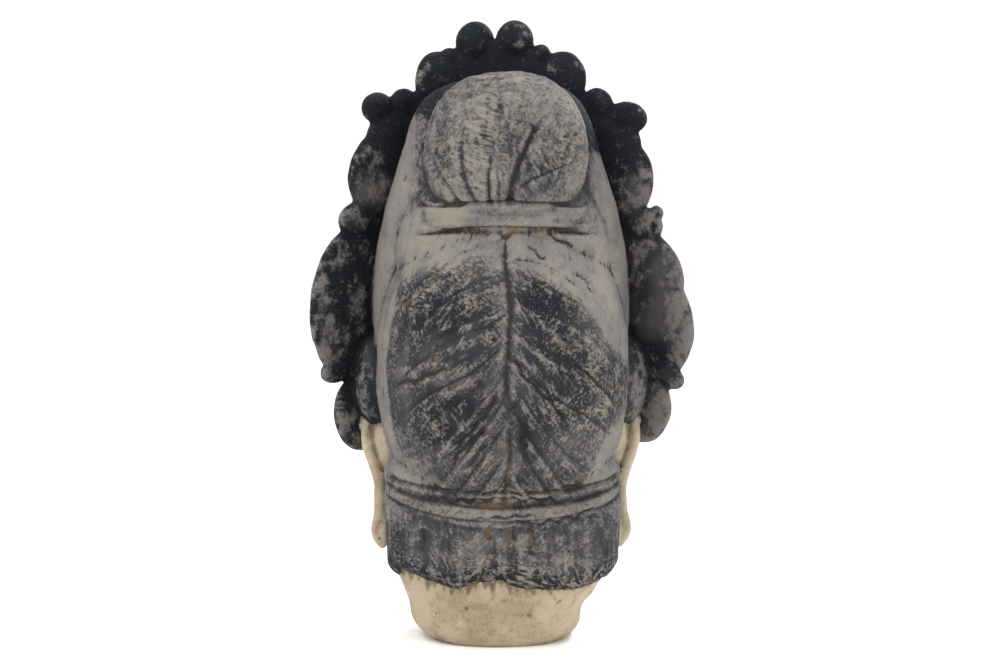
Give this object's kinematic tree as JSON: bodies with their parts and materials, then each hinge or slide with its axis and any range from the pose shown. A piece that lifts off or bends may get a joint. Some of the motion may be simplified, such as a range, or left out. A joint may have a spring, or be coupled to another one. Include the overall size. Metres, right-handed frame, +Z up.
{
  "type": "buddha head sculpture",
  "caption": "Cast head of a crowned bodhisattva with topknot, combed hair, long ears and a high scalloped crown, cut flat under the neck to stand on a shelf.",
  "frame": {"origin": "middle of the bounding box at the level of the flat underside of the neck", "axes": "+Z up; the face looks along -Y; +X is the head's own left"},
  "size_m": [0.2776, 0.2034, 0.4477],
  "materials": {
    "painted_plaster": "matt cream plaster under a worn charcoal wash, with ochre dirt in the hollows"
  },
  "bodies": {
    "root": {"buddha_head": "painted_plaster"}
  },
  "joints": []
}
